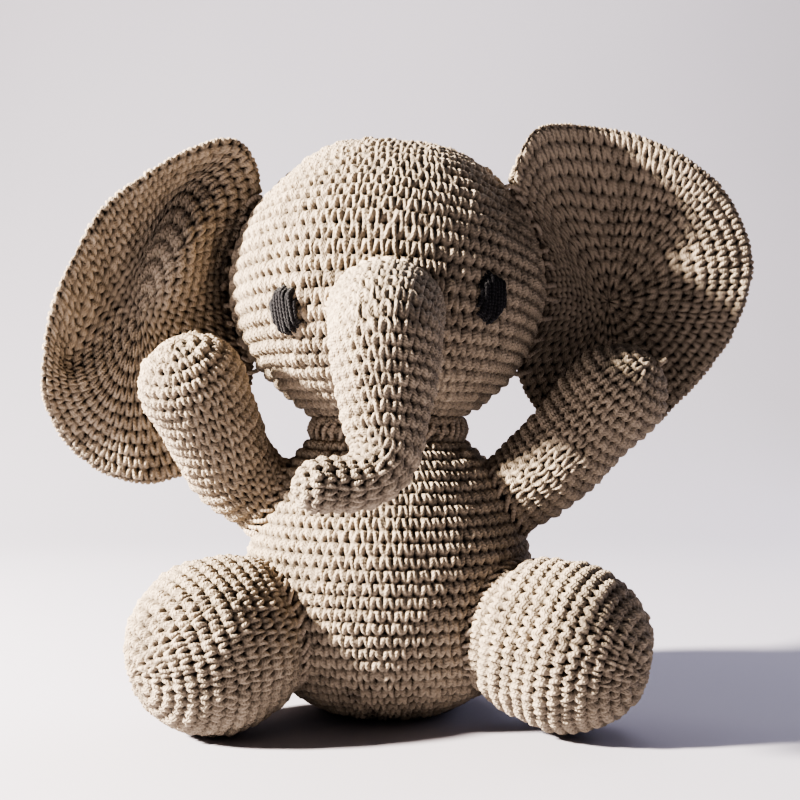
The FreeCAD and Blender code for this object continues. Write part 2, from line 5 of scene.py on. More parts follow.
import bpy
import numpy as np
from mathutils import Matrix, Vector


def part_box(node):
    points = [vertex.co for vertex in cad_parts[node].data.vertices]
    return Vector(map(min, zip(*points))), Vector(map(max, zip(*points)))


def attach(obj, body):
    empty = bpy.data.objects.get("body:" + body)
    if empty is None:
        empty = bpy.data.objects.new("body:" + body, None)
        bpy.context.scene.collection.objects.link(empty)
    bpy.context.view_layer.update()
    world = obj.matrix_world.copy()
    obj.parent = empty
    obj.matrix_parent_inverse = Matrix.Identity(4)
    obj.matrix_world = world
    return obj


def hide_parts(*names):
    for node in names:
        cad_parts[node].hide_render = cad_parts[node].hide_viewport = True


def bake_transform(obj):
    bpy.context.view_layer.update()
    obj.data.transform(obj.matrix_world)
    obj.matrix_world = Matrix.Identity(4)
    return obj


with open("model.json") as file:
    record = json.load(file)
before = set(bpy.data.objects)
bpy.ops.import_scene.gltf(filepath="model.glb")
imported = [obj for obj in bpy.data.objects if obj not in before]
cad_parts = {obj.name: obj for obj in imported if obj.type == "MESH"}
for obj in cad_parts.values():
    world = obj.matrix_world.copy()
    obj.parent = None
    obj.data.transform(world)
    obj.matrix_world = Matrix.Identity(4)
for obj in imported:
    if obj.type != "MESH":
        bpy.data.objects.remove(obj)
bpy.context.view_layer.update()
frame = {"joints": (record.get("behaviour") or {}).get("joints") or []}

MM = 0.001
TURN = 2 * math.pi
SEED = 20
EVEN_SPACING = 2.5   # about how far apart a cage's rows are, mm
COLUMNS = 72         # points round a cage
SINK_IN = 0.9        # how far the cages lie inside the CAD surfaces, mm

# the fabric
ROW = 5.0            # height of one round of stitches, mm
STITCH = 4.35        # width of one stitch, mm
RELIEF = 1.75        # how far the yarn stands out of the fabric, mm
SUB_ROWS = 8         # mesh rows in one round
SUB_COLUMNS = 8      # mesh columns in one stitch

# one stitch is an arch of two strands: places are shares of its width, heights are shares of RELIEF
STRAND = 0.262                       # half-width of a strand
LEG_TOP, LEG_SPREAD = 0.335, 0.150   # place of the strands at the top, and how far apart they move
SWELL_POWER = 0.62                   # how round the section of a round is
HOLE_AT, HOLE_LENGTH, HOLE_DEPTH, HOLE_SIDES = 0.98, 0.24, 0.85, 0.45
GUTTER_LENGTH, GUTTER_DEPTH = 0.20, 0.30
SURFACE_LEVEL = 0.55                 # the height that lies on the cage
LEAN_VARIES, TALL_VARIES, TALL_RANGE = 0.026, 0.15, (0.6, 1.35)
SINK_VARIES, SLIDE_VARIES, ROUGHNESS = 0.08, 0.06, 0.055

# unevenness of the stuffing
LUMP_WAVES, LUMP_LENGTHS, LUMP_SPREAD = 7, (24, 60), 2.6

# loose yarn
YARN = 1.0           # radius, mm
PLY_DEPTH = 0.13     # how far the plies stand out, in radii
TWIST_LENGTH = 5.0   # length of one turn of the plies, in radii

joints = {j["name"]: j for j in frame["joints"]}


# ---------------------------------------------------------------- frame measures, mm

def box_mm(node):
    low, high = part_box(node)
    return np.array(low) / MM, np.array(high) / MM


torso_low, torso_high = box_mm("torso_cover")
head_low, head_high = box_mm("head_cover")
TORSO_R = torso_high[0]
TORSO_TOP = torso_high[2]
WAIST = 48.0         # height of the torso's widest round
SEAT_R = 26.0        # radius of the flat seat
SEAT_POINTS = 11     # points of the torso's outline that lie on the seat
NECK_R = 32.0        # radius of the torso's open top
NECK_SEAM_R = 30.0
HEAD_HALF_HEIGHT = 59.0
HEAD_HALF = np.array([head_high[0], head_high[1], HEAD_HALF_HEIGHT])
HEAD_Z = head_high[2] - HEAD_HALF[2]
HEAD_OPEN = head_low[2]
HEAD_CENTRE = np.array([0.0, 0.0, HEAD_Z])


def hinge(name):
    return np.array(joints[name]["pos_m"], float) / MM


def unit(v):
    v = np.asarray(v, float)
    return v / np.linalg.norm(v, axis=-1, keepdims=True)


# ---------------------------------------------------------------- smooth surfaces

class Cage:
    """A closed-round surface through a grid of points: rows along it, columns round it.

    Row spacing is even, so v in mm along the surface is the row number times step.
    """

    def __init__(self, rows, step, pole_start=True, pole_end=False):
        self.count, self.columns = rows.shape[0], rows.shape[1]
        self.step = step
        half = self.columns // 2
        first = np.roll(rows[1], half, axis=0) if pole_start else 2 * rows[0] - rows[1]
        last = np.roll(rows[-2], half, axis=0) if pole_end else 2 * rows[-1] - rows[-2]
        self.rows = np.concatenate([first[None], rows, last[None]])

    @property
    def length(self):
        return (self.count - 1) * self.step

    def sample(self, theta, v):
        """Point, derivative by theta and derivative by v, by cubic interpolation."""
        x = theta / TURN * self.columns
        y = np.clip(v / self.step, 0, self.count - 1 - 1e-6)
        i, j = np.floor(x).astype(int), np.floor(y).astype(int)
        fx, fy = x - i, y - j

        def weights(f):
            f2, f3 = f * f, f * f * f
            w = [-0.5 * f3 + f2 - 0.5 * f, 1.5 * f3 - 2.5 * f2 + 1,
                 -1.5 * f3 + 2 * f2 + 0.5 * f, 0.5 * f3 - 0.5 * f2]
            d = [-1.5 * f2 + 2 * f - 0.5, 4.5 * f2 - 5 * f,
                 -4.5 * f2 + 4 * f + 0.5, 1.5 * f2 - f]
            return w, d

        (wx, dx), (wy, dy) = weights(fx), weights(fy)
        point = np.zeros(theta.shape + (3,))
        by_theta, by_v = np.zeros_like(point), np.zeros_like(point)
        for a in range(4):
            row = j + a
            for b in range(4):
                g = self.rows[row, (i + b - 1) % self.columns]
                point += (wy[a] * wx[b])[:, None] * g
                by_theta += (wy[a] * dx[b])[:, None] * g
                by_v += (dy[a] * wx[b])[:, None] * g
        return point, by_theta * self.columns / TURN, by_v / self.step

    def girth(self, v):
        angles = np.linspace(0, TURN, 96, endpoint=False)
        points, _, _ = self.sample(angles, np.full(96, v))
        return np.linalg.norm(points - np.roll(points, 1, axis=0), axis=1).sum()


def even_rows(rows):
    """Re-spaces rows of points so that they are evenly apart on average."""
    gaps = np.linalg.norm(np.diff(rows, axis=0), axis=2).mean(axis=1)
    run = np.concatenate([[0], np.cumsum(gaps)])
    count = max(4, int(round(run[-1] / EVEN_SPACING)) + 1)
    wanted = np.linspace(0, run[-1], count)
    flat = rows.reshape(len(rows), -1)
    moved = np.stack([np.interp(wanted, run, flat[:, k]) for k in range(flat.shape[1])], axis=1)
    return moved.reshape(count, rows.shape[1], 3), run[-1] / (count - 1)


def lumps(points, rng, size):
    """Slow unevenness of hand stuffing: a few long waves in chance directions."""
    shift = np.zeros(len(points))
    for _ in range(LUMP_WAVES):
        direction = unit(rng.normal(size=3))
        wave = rng.uniform(*LUMP_LENGTHS)
        shift += np.sin(points @ direction * TURN / wave + rng.uniform(0, TURN))
    return shift * size / LUMP_SPREAD


# ---------------------------------------------------------------- mesh from arrays

def make_mesh(name, points, faces_list, attributes, material, uv=None):
    """faces_list holds integer arrays of triangles or quads."""
    mesh = bpy.data.meshes.new(name)
    mesh.vertices.add(len(points))
    mesh.vertices.foreach_set("co", (np.asarray(points) * MM).astype(np.float32).ravel())
    corner = np.concatenate([f.ravel() for f in faces_list])
    sizes = np.concatenate([np.full(len(f), f.shape[1]) for f in faces_list])
    starts = np.concatenate([[0], np.cumsum(sizes)[:-1]])
    mesh.loops.add(len(corner))
    mesh.loops.foreach_set("vertex_index", corner.astype(np.int32))
    mesh.polygons.add(len(sizes))
    mesh.polygons.foreach_set("loop_start", starts.astype(np.int32))
    mesh.update(calc_edges=True)
    mesh.validate()
    mesh.polygons.foreach_set("use_smooth", np.ones(len(mesh.polygons), bool))
    for key, values in attributes.items():
        layer = mesh.attributes.new(key, "FLOAT", "POINT")
        layer.data.foreach_set("value", np.asarray(values, np.float32))
    if uv is not None:
        layer = mesh.uv_layers.new(name="OFBake")
        if len(layer.data) == len(uv):
            layer.data.foreach_set("uv", uv.astype(np.float32).ravel())
    mesh.materials.append(material)
    obj = bpy.data.objects.new(name, mesh)
    bpy.context.scene.collection.objects.link(obj)
    return obj


def zipper(first, first_angle, second, second_angle):
    """Triangles between two rings of points with different counts, matched by angle."""
    start = int(np.argmin(np.abs((second_angle - first_angle[0] + math.pi) % TURN - math.pi)))
    second = np.roll(second, -start)
    turned = np.roll(second_angle, -start)
    a = np.unwrap(first_angle)
    b = np.unwrap(turned)
    b += round((a[0] - b[0]) / TURN) * TURN
    a = np.append(a, a[0] + TURN).tolist()
    b = np.append(b, b[0] + TURN).tolist()
    first = np.append(first, first[0]).tolist()
    second = np.append(second, second[0]).tolist()
    i = j = 0
    triangles = []
    while i < len(a) - 1 or j < len(b) - 1:
        if j == len(b) - 1 or (i < len(a) - 1 and a[i + 1] <= b[j + 1]):
            triangles.append((first[i], first[i + 1], second[j]))
            i += 1
        else:
            triangles.append((first[i], second[j + 1], second[j]))
            j += 1
    return np.array(triangles)


# ---------------------------------------------------------------- crochet skin

class Round:
    """How each stitch of one round differs from the others."""

    def __init__(self, count, rng):
        self.lean = rng.normal(0, LEAN_VARIES, count)
        self.tall = np.clip(rng.normal(1, TALL_VARIES, count), *TALL_RANGE)
        self.tone = rng.normal(0, 1, count)
        self.sink = rng.normal(0, SINK_VARIES, count)
        self.slide = rng.normal(0, SLIDE_VARIES, count)

    def line(self, share, rng):
        """One line of vertices through the round, share of the way down its arches.

        Gives arrays of SUB_COLUMNS by stitches: places in the stitch, heights, and how far each
        vertex is across its strand, from -1 to 1.
        """
        leg = LEG_TOP - LEG_SPREAD * share * share * (3 - 2 * share) + self.lean
        zero, half = np.zeros_like(leg), np.full_like(leg, 0.5)
        places = np.stack([zero, leg / 2, leg, (leg + 0.5) / 2, half, 1 - (leg + 0.5) / 2,
                           1 - leg, 1 - leg / 2])
        near = np.minimum(np.abs(places - leg), np.abs(places - 1 + leg))
        near = np.minimum(near, np.minimum(places + leg, 2 - leg - places))
        swell = np.sin(math.pi * (share * 0.96 + 0.02)) ** SWELL_POWER
        heights = np.sqrt(np.clip(1 - (near / STRAND) ** 2, 0, 1)) * swell
        hole = np.exp(-((share - HOLE_AT) / HOLE_LENGTH) ** 2) * HOLE_DEPTH
        middle = SUB_COLUMNS // 2
        heights[middle] -= hole
        heights[middle - 1] -= hole * HOLE_SIDES
        heights[middle + 1] -= hole * HOLE_SIDES
        heights[0] -= np.exp(-(share / GUTTER_LENGTH) ** 2) * GUTTER_DEPTH
        heights = heights * self.tall + self.sink + rng.normal(0, ROUGHNESS, heights.shape)
        return places, heights, np.sign(places - 0.5) * near / STRAND


def face_outward(faces, points, inside):
    """Turns all the faces over if they look inward."""
    volume = 0.0
    for f in faces:
        for second in range(1, f.shape[1] - 1):
            a, b, c = (points[f[:, k]] - inside for k in (0, second, second + 1))
            volume += np.einsum("ij,ij->i", np.cross(a, b), c).sum()
    return [f[:, ::-1] for f in faces] if volume < 0 else faces


def wrapped_uv(faces, turn_share, rise):
    """Texture places of every face corner: round the piece and along it, with no face torn."""
    corner = np.concatenate([f.ravel() for f in faces])
    sizes = np.concatenate([np.full(len(f), f.shape[1]) for f in faces])
    owner = np.repeat(np.arange(len(sizes)), sizes)
    u = turn_share[corner]
    top = np.zeros(len(sizes))
    np.maximum.at(top, owner, u)
    u = np.where((top[owner] - u) > 0.5, u + 1, u) / 1.2
    return np.stack([u, rise[corner] * 0.99 + 0.005], axis=1)


def crochet(name, cage, material, rng, row=ROW, stitch=STITCH, relief=RELIEF, arch_down=True,
            lump=0.55, drift=0.16, floor=None, first_turn=0.0):
    """Covers a cage with rounds of single crochet, as one closed skin."""
    rounds = max(3, int(round(cage.length / row)))
    pitch = cage.length / rounds
    turned = first_turn
    columns = {key: [] for key in ("theta", "v", "relief", "tone", "across", "along")}
    faces, base, previous = [], 1, None
    lines = (np.arange(SUB_ROWS) + 0.5) / SUB_ROWS
    for k in range(rounds):
        count = max(6, int(round(cage.girth((k + 0.5) * pitch) / stitch)))
        turned += drift * TURN / count
        chance = Round(count, rng)
        for t in lines:
            share = t if arch_down else 1 - t
            places, heights, across = chance.line(share, rng)
            order = places + np.arange(count) + chance.slide * math.sin(math.pi * t)
            theta = turned + order.T.ravel() * TURN / count
            size = len(theta)
            for key, values in (("theta", theta), ("v", np.full(size, (k + t) * pitch)),
                                ("relief", heights.T.ravel()), ("across", across.T.ravel()),
                                ("tone", np.repeat(chance.tone, SUB_COLUMNS)),
                                ("along", np.full(size, k + share))):
                columns[key].append(values)
            ring = base + np.arange(size)
            if previous is None:
                faces.append(np.stack([np.roll(ring, -1), ring, np.zeros_like(ring)], axis=1))
            elif t > lines[0]:
                old = previous[0]
                faces.append(np.stack([old, np.roll(old, -1), np.roll(ring, -1), ring], axis=1))
            else:
                faces.append(zipper(*previous, ring, theta))
            previous = (ring, theta)
            base += size
    columns = {key: np.concatenate(values) for key, values in columns.items()}

    point, by_theta, by_v = cage.sample(columns["theta"], columns["v"])
    normal = np.cross(by_theta, by_v)
    normal /= np.linalg.norm(normal, axis=1, keepdims=True) + 1e-12
    # rows drawn together carry flatter stitches
    squeeze = np.minimum(np.linalg.norm(by_v, axis=1), 1.15)
    squeeze = np.clip(squeeze * min(1.0, pitch / (0.8 * ROW)), 0.15, 1.0)
    inside = point.mean(axis=0)
    if ((point - inside) * normal).sum(axis=1).mean() < 0:
        normal = -normal
    raised = (columns["relief"] - SURFACE_LEVEL) * relief * squeeze + lumps(point, rng, lump)
    point = point + normal * raised[:, None]

    ring = previous[0]
    start_cap = point[:6 * SUB_COLUMNS].mean(axis=0)
    end_cap = point[ring - 1].mean(axis=0)
    points = np.concatenate([start_cap[None], point, end_cap[None]])
    faces.append(np.stack([ring, np.roll(ring, -1), np.full_like(ring, base)], axis=1))
    if floor is not None:
        points[:, 2] = np.maximum(points[:, 2], floor)
    faces = face_outward(faces, points, inside)

    def capped(values, end=0.0):
        return np.concatenate([[values[0]], values, [end]])

    attributes = {key: capped(columns[key]) for key in ("tone", "across", "along")}
    # relief also sets the colour: painted shade, darker in the holes and gutters between stitches
    attributes["relief"] = capped(np.clip(columns["relief"], -0.5, 1.2))
    uv = wrapped_uv(faces, capped((columns["theta"] % TURN) / TURN, 0.5),
                    capped(columns["v"] / cage.length, 1.0))
    return make_mesh(name, points, faces, attributes, material, uv)


# ---------------------------------------------------------------- yarn tubes

def yarn(paths, radius, name, material, rng, sides=9, ply=3, spacing=0.7):
    """Plied yarn along each path of points, mm, all in one mesh."""
    points, faces, across, along, tone = [], [], [], [], []
    base = 0
    for path in paths:
        path = np.asarray(path, float)
        run = np.concatenate([[0], np.cumsum(np.linalg.norm(np.diff(path, axis=0), axis=1))])
        count = max(4, int(run[-1] / spacing))
        wanted = np.linspace(0, run[-1], count + 1)
        fine = np.stack([np.interp(wanted, run, path[:, k]) for k in range(3)], axis=1)
        for _ in range(2):
            fine[1:-1] = (fine[:-2] + 2 * fine[1:-1] + fine[2:]) / 4
        tangent = unit(np.gradient(fine, axis=0))
        side = np.cross(tangent[0], [0.3, 0.5, 0.8])
        frames = []
        for tan in tangent:
            side = unit(side - tan * np.dot(side, tan))
            frames.append((side, np.cross(tan, side)))
        shade = rng.normal()
        size = radius * rng.uniform(0.9, 1.1)
        ends = np.clip(np.minimum(wanted, run[-1] - wanted) / size, 0.0, 1.0)
        shrink = np.sqrt(1 - (1 - ends) ** 2) * 0.93 + 0.07
        angle = np.arange(sides) * TURN / sides
        for k, (u, w) in enumerate(frames):
            twist = wanted[k] * TURN / (TWIST_LENGTH * size)
            lobe = 1 + PLY_DEPTH * np.cos(ply * (angle - twist))
            ring = fine[k] + (np.cos(angle)[:, None] * u + np.sin(angle)[:, None] * w) * (
                lobe * size * shrink[k])[:, None]
            points.append(ring)
            across.append(np.full(sides, 0.0))
            along.append(np.full(sides, wanted[k] / ROW))
            tone.append(np.full(sides, shade))
        for k in range(count):
            a = base + k * sides + np.arange(sides)
            b = a + sides
            faces.append(np.stack([a, np.roll(a, -1), np.roll(b, -1), b], axis=1))
        first = base + np.arange(sides)
        last = base + count * sides + np.arange(sides)
        points.append(fine[:1])
        points.append(fine[-1:])
        across.append(np.zeros(2))
        along.append(np.zeros(2))
        tone.append(np.full(2, shade))
        tail = base + (count + 1) * sides
        faces.append(np.stack([np.roll(first, -1), first, np.full(sides, tail)], axis=1))
        faces.append(np.stack([last, np.roll(last, -1), np.full(sides, tail + 1)], axis=1))
        base = tail + 2
    points = np.concatenate(points)
    attributes = {"relief": np.full(len(points), 0.85), "tone": np.concatenate(tone),
                  "across": np.concatenate(across), "along": np.concatenate(along)}
    return make_mesh(name, points, faces, attributes, material)


# ---------------------------------------------------------------- materials

def new_material(name):
    material = bpy.data.materials.new(name)
    material.use_nodes = True
    nodes, links = material.node_tree.nodes, material.node_tree.links
    return material, nodes, links, nodes["Principled BSDF"]


def attribute(nodes, name):
    node = nodes.new("ShaderNodeAttribute")
    node.attribute_name = name
    return node.outputs["Fac"]


def math_node(nodes, links, kind, *inputs):
    node = nodes.new("ShaderNodeMath")
    node.operation = kind
    for k, value in enumerate(inputs):
        if isinstance(value, (int, float)):
            node.inputs[k].default_value = value
        else:
            links.new(value, node.inputs[k])
    return node.outputs[0]


def add_part(nodes, links, value, more, weight):
    """value + more * weight"""
    return math_node(nodes, links, "ADD", value, math_node(nodes, links, "MULTIPLY", more, weight))


def yarn_material(name, painted_shade_colour, light, sheen, bump=0.55):
    """Plied wool yarn: twisted plies, loose fibres and uneven dye, with painted shade that darkens the
    crevices between stitches and the grooves between plies.
    """
    material, nodes, links, shader = new_material(name)
    coords = nodes.new("ShaderNodeTexCoord")
    relief, tone = attribute(nodes, "relief"), attribute(nodes, "tone")
    across, along = attribute(nodes, "across"), attribute(nodes, "along")

    def noise(scale, detail):
        node = nodes.new("ShaderNodeTexNoise")
        node.inputs["Scale"].default_value = scale
        node.inputs["Detail"].default_value = detail
        links.new(coords.outputs["Object"], node.inputs["Vector"])
        return node.outputs["Fac"]

    fibre, dye, clump = noise(2400.0, 4.0), noise(28.0, 2.0), noise(420.0, 3.0)
    phase = math_node(nodes, links, "MULTIPLY", along, TURN * 2.0)
    for more, weight in ((across, 2.4), (clump, 3.0)):
        phase = add_part(nodes, links, phase, more, weight)
    plies = math_node(nodes, links, "ABSOLUTE", math_node(nodes, links, "SINE", phase))
    # painted shade: low relief darkens the holes and gutters between stitches and plies darkens the
    # grooves between the plies; tone, dye and fibre are the yarn's own uneven colour
    shade = math_node(nodes, links, "MULTIPLY_ADD", relief, 0.62, -0.02)
    for more, weight in ((tone, 0.05), (dye, 0.22), (fibre, 0.26), (plies, 0.17)):
        shade = add_part(nodes, links, shade, more, weight)
    ramp = nodes.new("ShaderNodeValToRGB")
    # the dark end of the ramp is the painted shade in the crevices
    ramp.color_ramp.elements[0].position = 0.12
    ramp.color_ramp.elements[0].color = (*painted_shade_colour, 1)
    ramp.color_ramp.elements[1].position = 0.98
    ramp.color_ramp.elements[1].color = (*light, 1)
    middle = ramp.color_ramp.elements.new(0.48)
    middle.color = (*[(d * 0.45 + li * 0.55) for d, li in zip(painted_shade_colour, light)], 1)
    links.new(shade, ramp.inputs["Fac"])
    links.new(ramp.outputs["Color"], shader.inputs["Base Color"])
    shader.inputs["Roughness"].default_value = 0.93
    shader.inputs["Specular IOR Level"].default_value = 0.12
    shader.inputs["Sheen Weight"].default_value = sheen
    shader.inputs["Sheen Roughness"].default_value = 0.5
    height = plies
    for more, weight in ((fibre, 0.9), (clump, 0.5)):
        height = add_part(nodes, links, height, more, weight)
    bump_node = nodes.new("ShaderNodeBump")
    bump_node.inputs["Strength"].default_value = bump
    bump_node.inputs["Distance"].default_value = 0.0005
    links.new(height, bump_node.inputs["Height"])
    links.new(bump_node.outputs["Normal"], shader.inputs["Normal"])
    return material


# first colour of each: painted shade in the crevices; second colour: the yarn's own colour
wool = yarn_material("wool", (0.018, 0.013, 0.010), (0.350, 0.290, 0.222), 0.08)
seam_wool = yarn_material("seam_wool", (0.028, 0.020, 0.015), (0.40, 0.330, 0.258), 0.10)
thread = yarn_material("thread", (0.002, 0.002, 0.0025), (0.022, 0.021, 0.024), 0.12, 0.7)


# ---------------------------------------------------------------- torso and head

def torso_profile(inset):
    low = (TORSO_R**2 - SEAT_R**2 - WAIST**2) / (2 * (TORSO_R - SEAT_R))
    rise = TORSO_TOP - WAIST
    high = (TORSO_R**2 - NECK_R**2 - rise**2) / (2 * (TORSO_R - NECK_R))
    low_r, high_r = TORSO_R - low - inset, TORSO_R - high - inset
    seat = np.linspace(0, SEAT_R, SEAT_POINTS + 1)[:-1]
    parts = [np.stack([seat, np.full_like(seat, inset)], axis=1)]
    angle = np.linspace(-math.asin(min(1, (WAIST - inset) / low_r)), 0, 50)[:-1]
    parts.append(np.stack([low + low_r * np.cos(angle), WAIST + low_r * np.sin(angle)], axis=1))
    angle = np.linspace(0, math.asin(min(1, rise / high_r)), 50)
    parts.append(np.stack([high + high_r * np.cos(angle), WAIST + high_r * np.sin(angle)], axis=1))
    return np.concatenate(parts)


TORSO_LINE = torso_profile(0.0)


def torso_radius(z):
    return np.interp(z, TORSO_LINE[SEAT_POINTS:, 1], TORSO_LINE[SEAT_POINTS:, 0])


def onto_torso(points, lift=0.0):
    """Moves points along rays from the middle of the torso onto its surface."""
    middle = np.array([0.0, 0.0, WAIST])
    rays = unit(points - middle)
    near, far = np.zeros(len(rays)), np.full(len(rays), 90.0)
    for _ in range(30):
        half = (near + far) / 2
        p = middle + rays * half[:, None]
        outside = np.hypot(p[:, 0], p[:, 1]) > torso_radius(p[:, 2])
        far = np.where(outside, half, far)
        near = np.where(outside, near, half)
    return middle + rays * (near + lift)[:, None], rays


def onto_head(points, lift=0.0):
    scaled = (points - HEAD_CENTRE) / HEAD_HALF
    surface = HEAD_CENTRE + unit(scaled) * HEAD_HALF
    normal = unit((surface - HEAD_CENTRE) / HEAD_HALF**2)
    return surface + normal * lift, normal


# the rounds of the crown lean back and to the viewer's right
CROWN_AXIS, CROWN_TILT, CROWN_SHARE = unit([-1.0, 0.45, 0.0]), math.radians(15.0), 0.35
angles = np.arange(COLUMNS) * TURN / COLUMNS


def rotate(points, axis, angle):
    """Turns one point, or rows of points, round an axis through the origin."""
    return (points * math.cos(angle) + np.cross(axis, points) * math.sin(angle)
            + (points @ axis)[..., None] * axis * (1 - math.cos(angle)))


def torso_cage():
    line = torso_profile(SINK_IN)
    rows = np.stack([line[:, 0][:, None] * np.cos(angles), line[:, 0][:, None] * np.sin(angles),
                     np.repeat(line[:, 1][:, None], COLUMNS, axis=1)], axis=2)
    return Cage(*even_rows(rows))


def head_cage():
    half = HEAD_HALF - SINK_IN
    last = math.acos((HEAD_OPEN - HEAD_Z) / half[2])
    tilt = np.linspace(0, last, 90)
    ball = np.stack([np.sin(tilt)[:, None] * np.cos(angles), np.sin(tilt)[:, None] * np.sin(angles),
                     np.repeat(np.cos(tilt)[:, None], COLUMNS, axis=1)], axis=2)
    fade = 1 - np.clip((tilt / last - CROWN_SHARE) / (1 - CROWN_SHARE), 0, 1)
    fade = fade * fade * (3 - 2 * fade)
    for k, share in enumerate(fade):
        ball[k] = rotate(ball[k], CROWN_AXIS, CROWN_TILT * share)
    return Cage(*even_rows(HEAD_CENTRE + ball * half))


# ---------------------------------------------------------------- limbs

def limb_cage(path, radii, axis0, root_ring, root_out, join_index, bow=0.9):
    """Tube from its round tip back to a ring sewn on another surface.

    path runs from the tip centre to the root, radii are at its points. The tip is a half ball.
    From join_index on, the surface bends over to the root ring, bow and root_out say how widely.
    """
    path, radii = np.asarray(path, float), np.asarray(radii, float) - SINK_IN
    tangent = unit(np.gradient(path, axis=0))
    side = unit(axis0 - tangent[0] * np.dot(axis0, tangent[0]))
    frames = []
    for tan in tangent:
        side = unit(side - tan * np.dot(side, tan))
        frames.append((side, np.cross(tan, side)))
    rows = []
    for lean in np.linspace(math.pi / 2, 0, 16)[:-1]:
        u, w = frames[0]
        centre = path[0] - tangent[0] * radii[0] * math.sin(lean)
        rows.append(centre + (np.cos(angles)[:, None] * u + np.sin(angles)[:, None] * w)
                    * radii[0] * math.cos(lean))
    for k in range(join_index + 1):
        u, w = frames[k]
        rows.append(path[k] + (np.cos(angles)[:, None] * u + np.sin(angles)[:, None] * w) * radii[k])
    last = rows[-1]
    u, w = frames[join_index]
    direction = tangent[join_index]
    ring, out = root_ring(np.cos(angles)[:, None] * u + np.sin(angles)[:, None] * w)
    span = np.linalg.norm(ring - last, axis=1, keepdims=True)
    start_pull, end_pull = direction * span * bow, -out * span * bow * root_out
    for share in np.linspace(0, 1, 14)[1:]:
        h1 = 2 * share**3 - 3 * share**2 + 1
        h2 = share**3 - 2 * share**2 + share
        h3 = -2 * share**3 + 3 * share**2
        h4 = share**3 - share**2
        rows.append(last * h1 + start_pull * h2 + ring * h3 + end_pull * h4)
    return Cage(*even_rows(np.array(rows)))


def straight(tip, root, count=24):
    return np.linspace(tip, root, count)


def whip_stitches(ring, inner, rng, reach=3.2, spacing=5.0, bulge=1.6):
    """Slanting yarn loops that sew one edge on: paths over a closed or open line of points.

    ring is the seam line, inner the outward direction of the piece that is sewn on.
    """
    run = np.concatenate([[0], np.cumsum(np.linalg.norm(np.diff(ring, axis=0), axis=1))])
    paths = []
    count = int(run[-1] / spacing)
    for k in range(count):
        place = (k + 0.5 + rng.normal(0, 0.12)) * run[-1] / count
        slant = rng.uniform(1.0, 2.4)

        def at(s, table):
            return np.array([np.interp(np.clip(s, 0, run[-1]), run, table[:, c]) for c in range(3)])

        out, normal = inner(at(place, ring))
        low = at(place - slant, ring) - out * reach * rng.uniform(0.7, 1.1) - normal * 0.8
        high = at(place + slant, ring) + out * reach * rng.uniform(0.8, 1.2) - normal * 0.4
        middle = at(place, ring) + normal * bulge
        paths.append([low - normal * 1.0, low + normal * 0.9, middle, high + normal * 0.7,
                      high - normal * 1.2])
    return paths


rng = np.random.default_rng(SEED)

torso = crochet("torso_fabric", torso_cage(), wool, rng, row=4.75, floor=0.1, arch_down=False)
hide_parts("torso_cover", "torso_stuffing")
head = crochet("head_fabric", head_cage(), wool, rng, row=5.1, first_turn=0.3)
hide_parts("head_cover", "head_stuffing")
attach(torso, "torso")
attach(head, "head")

ARMS = {
    "left": {"direction": unit([-0.284, -0.528, 0.800]), "tip": 20.0},
    "right": {"direction": unit([0.620, -0.290, 0.727]), "tip": 20.0},
}
ARM_LENGTH, ARM_SHOULDER, ARM_SEAM_R = 43.0, 17.5, 15.5
LEGS = {
    "left": {"direction": unit([-0.800, -0.560, -0.215])},
    "right": {"direction": unit([0.860, -0.460, -0.215])},
}
LEG_LENGTH, LEG_TIP, LEG_ROOT, LEG_SEAM_R = 20.0, 32.0, 29.0, 26.5


def torso_seam(foot, radius):
    def ring(spokes):
        _, normal = onto_torso(foot[None])
        flat = unit(spokes - (spokes @ normal[0])[:, None] * normal[0])
        return onto_torso(foot + flat * radius, 0.2)
    return ring


def yarn_end(tip, radius, rng):
    """Short tangled loops where the last stitch of a tip was fastened off."""
    out = unit(np.array([0.80, -0.25, 0.62]))
    spot = tip + out * (radius + 0.4)
    paths = []
    for _ in range(5):
        a, b = unit(rng.normal(size=3)), unit(rng.normal(size=3))
        paths.append([spot - out * 2.0, spot + a * 1.6, spot + out * rng.uniform(1.2, 3.4) + b * 1.3,
                      spot + b * 1.9, spot - out * 1.5 - a])
    return paths


covers = {}
for side_name, arm in ARMS.items():
    centre = hinge(side_name + "_arm_raise")
    tip = centre + arm["direction"] * ARM_LENGTH
    foot, normal = onto_torso(centre[None])
    path = straight(tip, centre)
    radii = np.linspace(arm["tip"], ARM_SHOULDER, len(path))
    cage = limb_cage(path, radii, np.array([0.0, 1.0, 0.2]), torso_seam(foot[0], ARM_SEAM_R), 0.6, 18)
    obj = crochet(side_name + "_arm_fabric", cage, wool, rng, row=4.7, stitch=4.2)
    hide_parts(side_name + "_arm_cover", side_name + "_arm_stuffing")
    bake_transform(obj)
    covers[side_name + "_arm"] = (obj, cage)
    if side_name == "right":
        end = yarn(yarn_end(tip, arm["tip"], rng), YARN * 0.7, "right_arm_yarn_end", wool, rng)
        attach(end, "right_arm")

for side_name, leg in LEGS.items():
    centre = hinge(side_name + "_leg_lift")
    tip = centre + leg["direction"] * LEG_LENGTH
    foot, normal = onto_torso(centre[None])
    path = straight(tip, centre - leg["direction"] * 2.0)
    radii = np.linspace(LEG_TIP, LEG_ROOT, len(path))
    cage = limb_cage(path, radii, np.array([0.0, 0.3, 1.0]), torso_seam(foot[0], LEG_SEAM_R), 0.3, 16,
                     bow=0.5)
    obj = crochet(side_name + "_leg_fabric", cage, wool, rng, row=4.8, stitch=4.3, floor=0.1)
    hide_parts(side_name + "_leg_cover", side_name + "_leg_stuffing")
    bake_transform(obj)
    covers[side_name + "_leg"] = (obj, cage)

# ---------------------------------------------------------------- trunk

